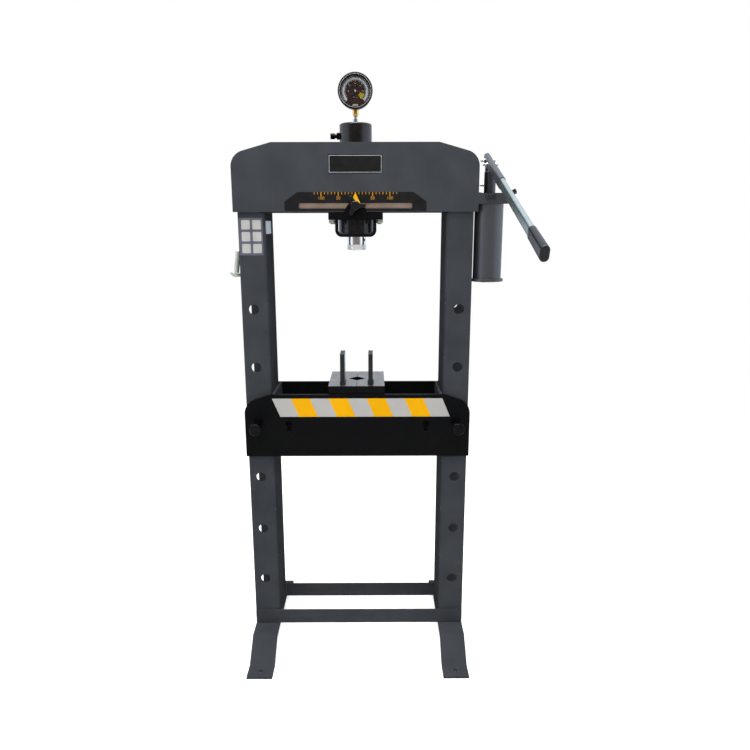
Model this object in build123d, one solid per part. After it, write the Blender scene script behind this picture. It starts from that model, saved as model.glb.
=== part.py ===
from build123d import *
import os
from math import atan, cos, radians, sqrt, tan

# Workshop press: two channel legs on bent feet, a head of two plates with a sliding cylinder carriage,
# a table pinned in the legs, and a hand pump on the right.
# Millimetres. The origin is on the floor at the centre of the four floor bolts.
# +X is to the right, +Y to the back and +Z up.

# Clearances, and how far a cut runs past the faces it opens
seat_gap = 0.3
running_gap = 0.05
fit_gap = 0.1
cut_past = 1

# Legs, folded channels that open outward
daylight = 534
leg_width = 80
leg_depth = 160
leg_wall = 6
leg_bend = 4
leg_top_drop = 54

# Rows of holes in the legs
pin_hole_d = 31
hole_from_web = 44
lowest_row = 229
row_pitch = 180
row_count = 6
table_row = 3

# Feet, one bent strip each
foot_wall = 8
foot_rise = 66
foot_flat_half = 153
foot_slope_end = 224
foot_half = 283
foot_bend = 6
floor_hole_d = 11
floor_hole_y = 254
floor_hole_from_web = 40

# Bars between the legs at the bottom
crossbar_height = 48
crossbar_wall = 5
crossbar_inset = 1

# Head plates
head_bottom = 1416
head_height = 194
head_wall = 8
head_past_leg = 12
head_flat_half = 242
head_slope = 15.6
head_corner = 46
slot_length = 332
slot_height = 15.5
slot_up = 9.5
slot_corner = 4.5

# Rails and ties inside the head
rail_wall = 12
rail_over_slot = 17
tie_wall = 8
tie_length = 63

# Carriage that hangs in the head and carries the cylinder
carriage_width = 160
carriage_wall = 21.5
carriage_proud = 1
carriage_drop = 0.5
hanger_width = 24
hanger_wall = 16
hanger_from_plate = 4
bolt_d = 12
bolt_from_end = 10
bolt_from_rail = 4
stud_past_nut = 3
nut_height = 10
nut_flats = 18

# Clamp with its tongue, knob and pointer
tongue_half = 34.5
tongue_wall = 8
tongue_rise = 52
tongue_straight = 6
stud_d = 8
clamp_nut_d = 14.5
knob_reach = 31
knob_hub_d = 26
knob_hub_length = 24
knob_arm_wall = 13
knob_arm_root = 8
knob_arm_tip = 5.5
knob_arm_set = 4
knob_arm_round = 2.5
knob_hub_chamfer = 2
pointer_half = 13
pointer_rise = 31
pointer_wall = 1.5
pointer_straight = 5
pointer_over_stud = 1.5

# Pull handle, a round bar bent to a U
handle_bar_d = 10
handle_half = 56
handle_drop = 45
handle_bend = 15
handle_from_front = 3

# Cylinder
cylinder_d = 96
bore_d = 76
cylinder_top = 1670
cylinder_end_wall = 20
cylinder_chamfer = 3
collar_d = 108
collar_height = 42
collar_floor = 22
collar_chamfer = 3
ram_d = 57
ram_show = 32
piston_height = 28
piston_top_gap = 8
saddle_height = 16
saddle_chamfer = 1
spigot_d = 25
spigot_length = 30
spigot_end_gap = 2
set_screw_d = 8
set_screw_up = 14
set_screw_length = 12
set_screw_angle = -30

# Return spring round the ram
spring_wire = 6
spring_turns = 10

# Hose fitting on the left of the cylinder
fitting_z = 1636
fitting_d = 17
fitting_neck_d = 12
fitting_bore_d = 8
fitting_neck = 6
fitting_base = 8
fitting_base_half = 9
fitting_length = 13

# Pressure gauge on the cylinder
adapter_flats = 13
adapter_height = 14
adapter_neck_d = 10
adapter_neck = 6
stem_flats = 16
stem_height = 19
stem_taper = 7
stem_end_d = 11
gauge_rise = 50
gauge_d = 102
gauge_case_d = 96
gauge_front = 25
gauge_back = 20
gauge_wall = 2
gauge_boss_d = 18
case_round = 7
bezel_depth = 9
bezel_lip = 6.5
bezel_slope = 2
bezel_slope_depth = 3
dial_depth = 7
dial_wall = 1
lens_depth = 2.5
lens_wall = 2
needle_length = 33
needle_tail = 11
needle_half = 2.2
needle_tip_half = 0.4
needle_wall = 0.8
needle_over_dial = 1.5
needle_hub_d = 8
needle_zero = 225
spindle_d = 4
spindle_length = 4

# Table
table_past_leg = 5
table_flat_half = 269
table_slope = 18
table_corner = 48
table_wall = 10
table_over_pin = 96
table_height = 201
table_side_gap = 2
table_end_wall = 8
keyhole_x = 215
keyhole_over_pin = 1
keyhole_d = 22
keyhole_slot = 14
keyhole_drop = 27

# Table pins
pin_d = 30
pin_collar_d = 39
pin_collar = 6
pin_neck_d = 32
pin_head_d = 37
pin_head = 12
pin_reach = 59
pin_past = 10
pin_chamfer = 1.5

# Arbor plates on the table
arbor_width = 87
arbor_length = 210
arbor_wall = 26
arbor_x = -2
arbor_y = 19
arbor_split = 1
notch_half = 26.5
lug_from_split = 44
lug_wall = 14
lug_depth = 68
lug_height = 97
lug_from_front = 19
lug_corner = 3

# Hand pump
pump_from_head = 38
pump_y = -45
bracket_wall = 8
bracket_height = 31
bracket_up = 22
bracket_reach = 86
reservoir_d = 85
reservoir_wall = 3
reservoir_lid = 4
reservoir_length = 219
base_d = 98
base_wall = 8
base_chamfer = 1.5
plug_flats = 12
plug_shank_d = 6
plug_height = 4
plug_x = -9
barrel_d = 34
barrel_height = 62
barrel_chamfer = 1.5
screw_d = 8
screw_head_d = 12
screw_head = 6
screw_socket = 5
screw_socket_depth = 4
screw_pitch = 16
screw_x = -3
screw_from_top = 10
screw_length = 24
rod_d = 14
rod_above = 8
rod_below = 18
rod_bore_depth = 20
rod_round = 3
nipple_up = 24
nipple_d = 8
nipple_length = 13
nipple_sunk = 4.5
nipple_step = 1
nipple_point = 6

# Lever and its pivots
lever_angle = 18.9
lever_swing = 44
pivot_y = 0
pivot_pitch_y = 45
piston_pin_z = 1551
pivot_pin_d = 8
pivot_pin_half = 22
pivot_collar_d = 13
pivot_collar = 2
post_wall = 13
post_half = 10
post_seat_side = 6
post_seat_back = 2
slot_play = 1.2
socket_width = 18.4
socket_height = 33.4
tube_width = 15
tube_height = 30
tube_wall = 2
tube_start = 80
tube_end = 751
socket_back = 25
socket_front = 247
socket_open = 73
socket_lift = 1.5
grip_start = 635
grip_end = 761
grip_width = 21
grip_height = 36
grip_start_width = 18.6
grip_start_height = 33.6
grip_corner = 4

# Release valve
valve_angle = 28
valve_boss_d = 18
valve_boss = 20
valve_start_x = 30
valve_stem_d = 8
valve_stem = 21
valve_knob_d = 17
valve_knob = 14
valve_knob_sides = 5
valve_depth = 12
valve_drop = 2
valve_end_gap = 1
valve_knob_chamfer = 1.5

# Spare drift kept in the left leg
drift_d = 16
drift_length = 69
drift_tilt = 7.5
drift_x = -375
drift_z = 1234
drift_cap_d = 40
drift_cap = 13
drift_chamfer = 1
clip_up = 56
clip_height = 10
clip_wall = 4
clip_pad_half = 15

# Places that follow from the sizes above
leg_in = daylight / 2
leg_out = leg_in + leg_width
leg_half = leg_depth / 2
head_half = leg_out + head_past_leg
table_half = leg_out + table_past_leg
web_out = leg_in + leg_wall
head_top = head_bottom + head_height
head_front = -(leg_half + head_wall)
leg_top = head_top - leg_top_drop
hole_x = leg_in + hole_from_web
pin_z = lowest_row + row_pitch * table_row
slot_bottom = head_bottom + slot_up
slot_top = slot_bottom + slot_height
slot_z = (slot_bottom + slot_top) / 2
rail_top = slot_top + rail_over_slot
carriage_top = head_bottom - carriage_drop
carriage_bottom = carriage_top - carriage_wall
carriage_front = head_front - carriage_proud
bolt_x = carriage_width / 2 - bolt_from_end
bolt_y = leg_half - rail_wall - bolt_d / 2 - bolt_from_rail
hanger_bottom = rail_top + seat_gap
hanger_top = hanger_bottom + hanger_wall
collar_bottom = carriage_bottom - collar_height
tube_bottom = collar_bottom + collar_floor
bore_top = cylinder_top - cylinder_end_wall
ram_bottom = collar_bottom - ram_show
saddle_bottom = ram_bottom - saddle_height
piston_top = bore_top - piston_top_gap
piston_bottom = piston_top - piston_height
adapter_top = cylinder_top + adapter_height + adapter_neck
stem_top = adapter_top + stem_height
gauge_z = stem_top + gauge_rise
case_inner = gauge_case_d / 2 - gauge_wall
dial_front = gauge_front - dial_depth - bezel_depth / 2
table_top = pin_z + table_over_pin
table_bottom = table_top - table_height
table_in = leg_half + table_side_gap
table_out = table_in + table_wall
bracket_bottom = head_bottom + bracket_up
bracket_top = bracket_bottom + bracket_height
bracket_side = head_half + bracket_wall
pump_x = head_half + pump_from_head
barrel_top = bracket_top + barrel_height
reservoir_bottom = bracket_bottom - reservoir_length
piston_pin_y = pivot_y - pivot_pitch_y
pivot_z = piston_pin_z + pivot_pitch_y * tan(radians(lever_angle))


# A block between two corners
def block(x0, x1, y0, y1, z0, z1):
    centre = Pos((x0 + x1) / 2, (y0 + y1) / 2, (z0 + z1) / 2)
    return centre * Box(x1 - x0, y1 - y0, z1 - z0)


# A flat outline drawn from the front, X and Z, given thickness between two values of Y
def from_front(face, y0, y1):
    return Pos(0, y1, 0) * extrude(Plane.XZ * face, amount=y1 - y0)


# A flat outline drawn from the right, Y and Z, given width between two values of X
def from_side(face, x0, x1):
    return Pos(x0, 0, 0) * extrude(Plane.YZ * face, amount=x1 - x0)


# A flat outline drawn from above, X and Y, given height between two values of Z
def from_above(face, z0, z1):
    return Pos(0, 0, z0) * extrude(face, amount=z1 - z0)


# Round bars along each axis
def bar_x(d, x0, x1, y, z):
    return Pos((x0 + x1) / 2, y, z) * Rot(0, 90, 0) * Cylinder(d / 2, x1 - x0)


def bar_y(d, y0, y1, x, z):
    return Pos(x, (y0 + y1) / 2, z) * Rot(90, 0, 0) * Cylinder(d / 2, y1 - y0)


def bar_z(d, z0, z1, x=0, y=0):
    return Pos(x, y, (z0 + z1) / 2) * Cylinder(d / 2, z1 - z0)


# A section in X and Z, spun round the upright axis
def spun(face):
    return revolve(Plane.XZ * face, Axis.Z)


# A turned piece: radius and height pairs, spun round the upright axis at x, y
def turned(points, x=0, y=0):
    return Pos(x, y, 0) * spun(outline(points))


def hexagon(flats):
    return RegularPolygon(flats / sqrt(3), 6)


def outline(points):
    return make_face(Polyline(*points, close=True))


# The corners of a flat outline that lie nearest to the given points
def corners(face, points):
    return [min(face.vertices(), key=lambda v: (v.X - x) ** 2 + (v.Y - z) ** 2) for x, z in points]


def both_sides(points):
    return points + [(-x, z) for x, z in reversed(points)]


def mirrored(shape):
    return mirror(shape, about=Plane.YZ)


def right_leg():
    section = Pos(leg_in + leg_width / 2, 0) * Rectangle(leg_width, leg_depth)
    section = fillet(corners(section, [(leg_in, leg_half), (leg_in, -leg_half)]), leg_bend + leg_wall)
    hollow = Pos(web_out + leg_width / 2, 0) * Rectangle(leg_width, leg_depth - 2 * leg_wall)
    inner = leg_half - leg_wall
    hollow = fillet(corners(hollow, [(web_out, inner), (web_out, -inner)]), leg_bend)
    leg = from_above(section - hollow, foot_rise, leg_top)
    for row in range(row_count):
        z = lowest_row + row_pitch * row
        leg -= bar_y(pin_hole_d, -leg_depth, leg_depth, hole_x, z)
    return leg


def right_foot():
    rise = foot_rise - foot_wall
    angle = atan(rise / (foot_slope_end - foot_flat_half))
    shift = foot_wall * tan(angle / 2)
    above = [(foot_half, foot_wall), (foot_slope_end, foot_wall), (foot_flat_half, foot_rise)]
    below = [(foot_half, 0), (foot_slope_end - shift, 0), (foot_flat_half - shift, rise)]
    upper = above + [(-y, z) for y, z in reversed(above)]
    lower = below + [(-y, z) for y, z in reversed(below)]
    strip = outline(upper + list(reversed(lower)))
    inner = [upper[1], upper[4], lower[2], lower[3]]
    outer = [upper[2], upper[3], lower[1], lower[4]]
    strip = fillet(corners(strip, inner), foot_bend)
    strip = fillet(corners(strip, outer), foot_bend + foot_wall)
    foot = from_side(strip, leg_in, leg_out)
    for y in (-floor_hole_y, floor_hole_y):
        foot -= bar_z(floor_hole_d, -cut_past, foot_wall + cut_past, leg_in + floor_hole_from_web, y)
    return foot


def crossbar(y0):
    half = leg_out - crossbar_inset
    return block(-half, half, y0, y0 + crossbar_wall, foot_rise, foot_rise + crossbar_height)


# Both head plates have this outline: flat in the middle, sloping to a round corner
def head_outline():
    shoulder = head_top - (head_half - head_flat_half) * tan(radians(head_slope))
    edge = both_sides([(head_half, head_bottom), (head_half, shoulder), (head_flat_half, head_top)])
    plate = outline(edge)
    return fillet(corners(plate, [(head_half, shoulder), (-head_half, shoulder)]), head_corner)


def head_front_plate():
    slot = Pos(0, slot_z) * RectangleRounded(slot_length, slot_height, slot_corner)
    return from_front(head_outline() - slot, head_front, -leg_half)


def head_rear_plate():
    return from_front(head_outline(), leg_half, leg_half + head_wall)


# The rails stand on the tie plates and lie against the head plates
def rail(y0):
    return block(-leg_in, leg_in, y0, y0 + rail_wall, head_bottom + tie_wall, rail_top)


def right_tie_plate():
    return block(leg_in - tie_length, leg_in, -leg_half, leg_half, head_bottom, head_bottom + tie_wall)


def table_outline():
    shoulder = table_top - (table_half - table_flat_half) * tan(radians(table_slope))
    edge = both_sides([(table_half, table_bottom), (table_half, shoulder), (table_flat_half, table_top)])
    plate = outline(edge)
    plate = fillet(corners(plate, [(table_half, shoulder), (-table_half, shoulder)]), table_corner)
    eye = pin_z + keyhole_over_pin
    for side in (-1, 1):
        plate -= Pos(side * hole_x, pin_z) * Circle(pin_hole_d / 2)
        plate -= Pos(side * keyhole_x, eye) * Circle(keyhole_d / 2)
        neck = keyhole_drop - keyhole_slot / 2
        plate -= Pos(side * keyhole_x, eye - neck / 2) * Rectangle(keyhole_slot, neck)
        plate -= Pos(side * keyhole_x, eye - neck) * Circle(keyhole_slot / 2)
    return plate


def table_plate(y0):
    return from_front(table_outline(), y0, y0 + table_wall)


def table_right_end():
    x1 = leg_in - table_side_gap
    return block(x1 - table_end_wall, x1, -table_in, table_in, table_bottom, table_top)


# One thick plate with a V notch in its inner edge, and the flat bar welded on it to lift it by
def arbor_plate(side):
    inner = arbor_x + side * arbor_split / 2
    outer = inner + side * arbor_width
    y0 = arbor_y - arbor_length / 2
    y1 = arbor_y + arbor_length / 2
    tip = inner + side * notch_half
    points = [(inner, y0), (outer, y0), (outer, y1), (inner, y1)]
    points += [(inner, arbor_y + notch_half), (tip, arbor_y), (inner, arbor_y - notch_half)]
    plate = from_above(outline(points), table_top, table_top + arbor_wall)
    lug_x = arbor_x + side * lug_from_split
    lug = Pos(y0 + lug_from_front + lug_depth / 2, table_top + arbor_wall + lug_height / 2)
    face = lug * Rectangle(lug_depth, lug_height)
    top = table_top + arbor_wall + lug_height
    ends = [(y0 + lug_from_front, top), (y0 + lug_from_front + lug_depth, top)]
    face = fillet(corners(face, ends), lug_corner)
    return plate + from_side(face, lug_x - lug_wall / 2, lug_x + lug_wall / 2)


# A table pin with its collar against the table and a head to pull it by
def table_pin(side):
    front = table_out + seat_gap
    r = pin_d / 2
    points = [(0, -(table_out + pin_past)), (r - pin_chamfer, -(table_out + pin_past))]
    points += [(r, -(table_out + pin_past) + pin_chamfer), (r, front)]
    points += [(pin_collar_d / 2, front), (pin_collar_d / 2, front + pin_collar)]
    neck_end = front + pin_reach - pin_head
    points += [(pin_neck_d / 2, front + pin_collar), (pin_neck_d / 2, neck_end)]
    points += [(pin_head_d / 2, neck_end), (pin_head_d / 2, front + pin_reach - pin_chamfer)]
    points += [(pin_head_d / 2 - pin_chamfer, front + pin_reach), (0, front + pin_reach)]
    return Pos(side * hole_x, 0, pin_z) * Rot(90, 0, 0) * turned(points)


def carriage_plate():
    half = carriage_width / 2
    plate = block(-half, half, carriage_front, -carriage_front, carriage_bottom, carriage_top)
    low = carriage_bottom - cut_past
    high = carriage_top + cut_past
    plate -= bar_z(cylinder_d + 2 * fit_gap, low, high)
    for x, y in bolt_places():
        plate -= bar_z(bolt_d + 2 * fit_gap, low, high, x, y)
    return plate


def bolt_places():
    return [(x, y) for x in (-bolt_x, bolt_x) for y in (-bolt_y, bolt_y)]


# Bar that rides on both rails, with two studs welded in it that hold the carriage up
def hanger(side):
    x = side * bolt_x
    reach = leg_half - hanger_from_plate
    bar = block(x - hanger_width / 2, x + hanger_width / 2, -reach, reach, hanger_bottom, hanger_top)
    for y in (-bolt_y, bolt_y):
        bar += bar_z(bolt_d, carriage_bottom - nut_height - stud_past_nut, hanger_bottom, x, y)
    return bar


def carriage_nuts():
    solids = []
    low = carriage_bottom - nut_height
    for x, y in bolt_places():
        nut = Pos(x, y) * from_above(hexagon(nut_flats), low, carriage_bottom)
        solids.append(nut - bar_z(bolt_d + 2 * fit_gap, low - cut_past, carriage_top, x, y))
    return Compound(children=solids)


# Half an ellipse standing on a short straight foot, against the front of the carriage
def clamp_tongue():
    top = carriage_bottom + tongue_rise
    arch_z = carriage_bottom + tongue_straight
    arch = Pos(0, arch_z) * Ellipse(tongue_half, top - arch_z)
    lower = Pos(0, arch_z - tongue_rise) * Rectangle(2 * (tongue_half + cut_past), 2 * tongue_rise)
    foot = Pos(0, carriage_bottom + tongue_straight / 2) * Rectangle(2 * tongue_half, tongue_straight)
    face = (arch - lower) + foot
    face -= Pos(0, slot_z) * Circle(stud_d / 2 + running_gap)
    return from_front(face, carriage_front - tongue_wall, carriage_front)


# A round threaded bush on the back of the tongue, which slides in the slot
def clamp_nut():
    back = -leg_half - 2 * seat_gap
    bush = bar_y(clamp_nut_d, carriage_front, back, 0, slot_z)
    return bush - bar_y(stud_d + 2 * running_gap, carriage_front - cut_past, back + cut_past, 0, slot_z)


# Three-armed knob moulded on a stud whose tip presses on the front rail through the slot
def clamp_knob():
    back = carriage_front - tongue_wall - pointer_wall - 2 * seat_gap
    front = back - knob_hub_length
    arm_front = front + knob_arm_set
    face = Circle(knob_hub_d / 2)
    for turn in range(3):
        tip = Pos(knob_reach - knob_arm_tip, 0) * Circle(knob_arm_tip)
        arm = make_hull([*Circle(knob_arm_root).edges(), *tip.edges()])
        face += Rot(0, 0, 120 * turn) * arm
    arms = Pos(0, 0, slot_z) * from_front(face, arm_front, arm_front + knob_arm_wall)
    arms = fillet(arms.edges().filter_by(GeomType.LINE, reverse=True).group_by(Axis.Y)[0], knob_arm_round)
    hub = bar_y(knob_hub_d, front, back, 0, slot_z)
    hub = chamfer(hub.edges().group_by(Axis.Y)[0], knob_hub_chamfer)
    return arms + hub + bar_y(stud_d, back, -leg_half - seat_gap, 0, slot_z)


def pointer():
    front = carriage_front - tongue_wall - pointer_wall
    low = slot_z + stud_d / 2 + pointer_over_stud
    shoulder = low + pointer_straight
    points = [(-pointer_half, low), (pointer_half, low), (pointer_half, shoulder)]
    face = outline(points + [(0, low + pointer_rise), (-pointer_half, shoulder)])
    return from_front(face, front, front + pointer_wall)


# Round bar bent to a U, welded under the front edge of the carriage
def pull_handle():
    y = carriage_front + handle_bar_d / 2 + handle_from_front
    low = carriage_bottom - handle_drop
    places = [(-handle_half, carriage_bottom), (-handle_half, low), (handle_half, low)]
    places.append((handle_half, carriage_bottom))
    path = FilletPolyline(*[(x, y, z) for x, z in places], radius=handle_bend)
    return sweep(Plane(path @ 0, z_dir=path % 0) * Circle(handle_bar_d / 2), path=path)


def cylinder_tube():
    r = cylinder_d / 2
    bore = bore_d / 2
    points = [(bore, tube_bottom), (r, tube_bottom), (r, cylinder_top - cylinder_chamfer)]
    points += [(r - cylinder_chamfer, cylinder_top), (0, cylinder_top), (0, bore_top), (bore, bore_top)]
    return turned(points)


def cylinder_collar():
    r = collar_d / 2
    seat = cylinder_d / 2 + fit_gap
    points = [(ram_d / 2 + running_gap, collar_bottom), (r - collar_chamfer, collar_bottom)]
    points += [(r, collar_bottom + collar_chamfer), (r, carriage_bottom), (seat, carriage_bottom)]
    points += [(seat, tube_bottom), (ram_d / 2 + running_gap, tube_bottom)]
    return turned(points)


# Rod and piston turned in one, with a socket for the saddle and its set screw
def ram():
    r = ram_d / 2
    piston = bore_d / 2 - running_gap
    socket = spigot_d / 2 + fit_gap
    socket_top = ram_bottom + spigot_length + spigot_end_gap
    points = [(0, socket_top), (socket, socket_top), (socket, ram_bottom), (r, ram_bottom)]
    points += [(r, piston_bottom), (piston, piston_bottom), (piston, piston_top), (0, piston_top)]
    return turned(points) - set_screw_bar(set_screw_d + 2 * fit_gap, 0, r + cut_past)


# A round bar across the foot of the ram, out along the line of the set screw
def set_screw_bar(d, start, end):
    return Rot(0, 0, set_screw_angle) * bar_x(d, start, end, 0, ram_bottom + set_screw_up)


def saddle_screw():
    start = spigot_d / 2 + 2 * fit_gap
    screw = set_screw_bar(set_screw_d, start, start + set_screw_length)
    return screw - set_screw_bar(screw_socket, start + set_screw_length - screw_socket_depth, ram_d)


def ram_saddle():
    r = ram_d / 2
    points = [(0, saddle_bottom), (r - saddle_chamfer, saddle_bottom), (r, saddle_bottom + saddle_chamfer)]
    points += [(r, ram_bottom), (spigot_d / 2, ram_bottom), (spigot_d / 2, ram_bottom + spigot_length)]
    return turned(points + [(0, ram_bottom + spigot_length)])


# Coil spring of square wire in the space between the ram and the bore
def return_spring():
    radius = (ram_d + bore_d) / 4
    low = tube_bottom + spring_wire / 2 + seat_gap
    high = piston_bottom - spring_wire / 2 - seat_gap
    path = Pos(0, 0, low) * Helix(pitch=(high - low) / spring_turns, height=high - low, radius=radius)
    wire = Plane(path @ 0, z_dir=path % 0) * Rectangle(spring_wire, spring_wire)
    return sweep(wire, path=path, is_frenet=True)


def hose_fitting():
    start = -cylinder_d / 2
    half = fitting_base_half
    base = block(start - fitting_base, start + half, -half, half, fitting_z - half, fitting_z + half)
    neck_end = start - fitting_base - fitting_neck
    neck = bar_x(fitting_neck_d, neck_end, start - fitting_base, 0, fitting_z)
    end = bar_x(fitting_d, neck_end - fitting_length, neck_end, 0, fitting_z)
    body = base + neck + end
    body -= bar_x(fitting_bore_d, neck_end - fitting_length - cut_past, neck_end, 0, fitting_z)
    return body - bar_z(cylinder_d + 2 * fit_gap, fitting_z - fitting_d, fitting_z + fitting_d)


def gauge_adapter():
    nut = from_above(hexagon(adapter_flats), cylinder_top, cylinder_top + adapter_height)
    return nut + bar_z(adapter_neck_d, cylinder_top + adapter_height, adapter_top)


# Brass hexagon that narrows to a round end below
def gauge_stem():
    shoulder = adapter_top + stem_taper
    low = Plane.XY.offset(adapter_top) * Circle(stem_end_d / 2)
    neck = loft([low, Plane.XY.offset(shoulder) * Circle(stem_flats / 2)])
    return neck + from_above(hexagon(stem_flats), shoulder, stem_top)


# A piece of the gauge, spun round its own axis that points to the front
def gauge_spun(face):
    return Pos(0, 0, gauge_z) * Rot(90, 0, 0) * spun(face)


def gauge_case():
    r = gauge_case_d / 2
    front = gauge_front - bezel_depth
    floor = gauge_wall - gauge_back
    points = [(0, -gauge_back), (r, -gauge_back), (r, front), (case_inner, front), (case_inner, floor)]
    section = outline(points + [(0, floor)])
    section = fillet(corners(section, [(r, -gauge_back)]), case_round)
    section = fillet(corners(section, [(case_inner, floor)]), case_round - gauge_wall)
    boss = bar_z(gauge_boss_d, stem_top, gauge_z - case_inner)
    hollow = bar_y(2 * case_inner, -gauge_front, gauge_back - gauge_wall, 0, gauge_z)
    return gauge_spun(section) + (boss - hollow)


def gauge_bezel():
    r = gauge_d / 2
    inner = r - bezel_lip
    front = gauge_front
    back = front - bezel_depth
    seat = front - lens_depth
    points = [(case_inner, seat), (case_inner, back), (r, back), (r, front - bezel_slope_depth)]
    return gauge_spun(outline(points + [(r - bezel_slope, front), (inner, front), (inner, seat)]))


# A round plate inside the gauge, from the given hole out to the wall
def gauge_disc(hole, back, front):
    r = case_inner - fit_gap
    return gauge_spun(outline([(hole, back), (r, back), (r, front), (hole, front)]))


def gauge_dial():
    return gauge_disc(spindle_d / 2 + running_gap, dial_front - dial_wall, dial_front)


def gauge_lens():
    front = gauge_front - lens_depth
    return gauge_disc(0, front - lens_wall, front)


# Needle with a tail and a spindle through the dial, at the zero mark
def gauge_needle():
    tip = needle_tip_half
    points = [(-needle_tail, needle_half), (-needle_tail, -needle_half), (0, -needle_half)]
    blade = outline(points + [(needle_length, -tip), (needle_length, tip), (0, needle_half)])
    blade = extrude(blade + Circle(needle_hub_d / 2), amount=needle_wall)
    needle = Rot(0, 0, needle_zero) * (blade + bar_z(spindle_d, -spindle_length, 0))
    return Pos(0, -dial_front - needle_over_dial, gauge_z) * Rot(90, 0, 0) * needle


# Angle that is welded to the edges of both head plates and carries the pump on its front arm
def pump_bracket():
    front = head_front
    end = head_half + bracket_reach
    side = block(head_half, bracket_side, front, -front, bracket_bottom, bracket_top)
    arm = block(head_half, end, front, front + bracket_wall, bracket_bottom, bracket_top)
    return side + arm - screw_holes(fit_gap)


def screw_places():
    return [pump_x + screw_x - screw_pitch / 2, pump_x + screw_x + screw_pitch / 2]


def screw_holes(gap):
    z = bracket_top - screw_from_top
    left, right = screw_places()
    hole = bar_y(screw_d + 2 * gap, head_front - cut_past, head_front + screw_length + gap, 0, z)
    return Pos(left, 0, 0) * hole + Pos(right, 0, 0) * hole


def bracket_screws():
    solids = []
    z = bracket_top - screw_from_top
    for x in screw_places():
        head = bar_y(screw_head_d, head_front - screw_head, head_front, x, z)
        face = head_front - screw_head
        socket = from_front(hexagon(screw_socket), face - cut_past, face + screw_socket_depth)
        head -= Pos(x, 0, z) * socket
        solids.append(head + bar_y(screw_d, head_front, head_front + screw_length, x, z))
    return Compound(children=solids)


# A closed can, open below where its base plate fits
def reservoir():
    r = reservoir_d / 2
    inner = r - reservoir_wall
    lid = bracket_bottom - reservoir_lid
    points = [(inner, reservoir_bottom), (r, reservoir_bottom), (r, bracket_bottom), (0, bracket_bottom)]
    return turned(points + [(0, lid), (inner, lid)], pump_x, pump_y)


def reservoir_base():
    low = reservoir_bottom - base_wall
    base = bar_z(base_d, low, reservoir_bottom, pump_x, pump_y)
    base = chamfer(base.edges().group_by(Axis.Z)[0], base_chamfer)
    hole_d = plug_shank_d + 2 * fit_gap
    return base - bar_z(hole_d, low - cut_past, reservoir_bottom + cut_past, pump_x + plug_x, pump_y)


def drain_plug():
    x = pump_x + plug_x
    low = reservoir_bottom - base_wall
    head = Pos(x, pump_y) * from_above(hexagon(plug_flats), low - plug_height, low)
    return head + bar_z(plug_shank_d, low, reservoir_bottom, x, pump_y)


# The block under the barrel, with a lug behind for the post and a slanted boss for the release valve
def pump_block():
    body = bar_z(reservoir_d, bracket_bottom, bracket_top, pump_x, pump_y)
    seat_half = post_wall / 2 + post_seat_side
    back = pivot_y + post_half + post_seat_back
    body += block(pump_x - seat_half, pump_x + seat_half, pump_y, back, bracket_bottom, bracket_top)
    far = 2 * reservoir_d
    left = pump_x - far
    front = pump_y - far
    arm_back = head_front + bracket_wall
    body -= block(left, bracket_side, front, pump_y + far, bracket_bottom, bracket_top)
    body -= block(left, pump_x + far, front, arm_back, bracket_bottom, bracket_top)
    hole_d = valve_stem_d + 2 * running_gap
    hole = bar_z(hole_d, valve_boss - valve_depth, valve_boss + cut_past)
    body = body + valve_place() * bar_z(valve_boss_d, 0, valve_boss) - valve_place() * hole
    bore_low = bracket_top - rod_bore_depth
    body -= bar_z(rod_d + 2 * running_gap, bore_low, bracket_top + cut_past, pump_x, piston_pin_y)
    return body - screw_holes(fit_gap)


# Frame of the release valve: its own Z runs out along the stem
def valve_place():
    z = (bracket_bottom + bracket_top) / 2 - valve_drop
    return Pos(pump_x + valve_start_x, pump_y, z) * Rot(0, 90 - valve_angle, 0)


def release_knob():
    stem_end = valve_boss + valve_stem
    stem = bar_z(valve_stem_d, valve_boss - valve_depth + valve_end_gap, stem_end)
    knob = from_above(RegularPolygon(valve_knob_d / 2, valve_knob_sides), stem_end, stem_end + valve_knob)
    knob = chamfer(knob.edges().group_by(Axis.Z)[-1], valve_knob_chamfer)
    return valve_place() * (stem + knob)


def pump_barrel():
    r = barrel_d / 2
    hole = rod_d / 2 + running_gap
    points = [(hole, bracket_top), (r, bracket_top), (r, barrel_top - barrel_chamfer)]
    points += [(r - barrel_chamfer, barrel_top), (hole, barrel_top)]
    barrel = turned(points, pump_x, piston_pin_y)
    return barrel - nipple_hole()


def nipple_hole():
    x = pump_x - barrel_d / 2
    end = x + nipple_sunk + seat_gap
    return bar_x(nipple_d / 2 + 2 * fit_gap, x - nipple_step, end, piston_pin_y, bracket_top + nipple_up)


# Pointed bleed nipple on the left of the barrel
def bleed_nipple():
    r = nipple_d / 2
    points = [(0, -nipple_sunk), (r / 2, -nipple_sunk), (r / 2, nipple_step), (r, nipple_step)]
    points += [(r, nipple_length - nipple_point), (r / 2, nipple_length), (0, nipple_length)]
    place = Pos(pump_x - barrel_d / 2, piston_pin_y, bracket_top + nipple_up)
    return place * Rot(0, -90, 0) * turned(points)


# Post that carries the lever between the cheeks of its socket
def fulcrum_post():
    face = Pos(pivot_y, (bracket_top + pivot_z) / 2) * Rectangle(2 * post_half, pivot_z - bracket_top)
    face += Pos(pivot_y, pivot_z) * Circle(post_half)
    face -= Pos(pivot_y, pivot_z) * Circle(pivot_pin_d / 2 + fit_gap)
    return from_side(face, pump_x - post_wall / 2, pump_x + post_wall / 2)


# Cross pin with a thin collar outside each cheek
def cross_pin(y, z):
    pin = bar_x(pivot_pin_d, pump_x - pivot_pin_half, pump_x + pivot_pin_half, y, z)
    outside = socket_width / 2 + 2 * seat_gap
    for side in (-1, 1):
        x0 = pump_x + side * outside
        x1 = x0 + side * pivot_collar
        pin += bar_x(pivot_collar_d, min(x0, x1), max(x0, x1), y, z)
    return pin


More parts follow.
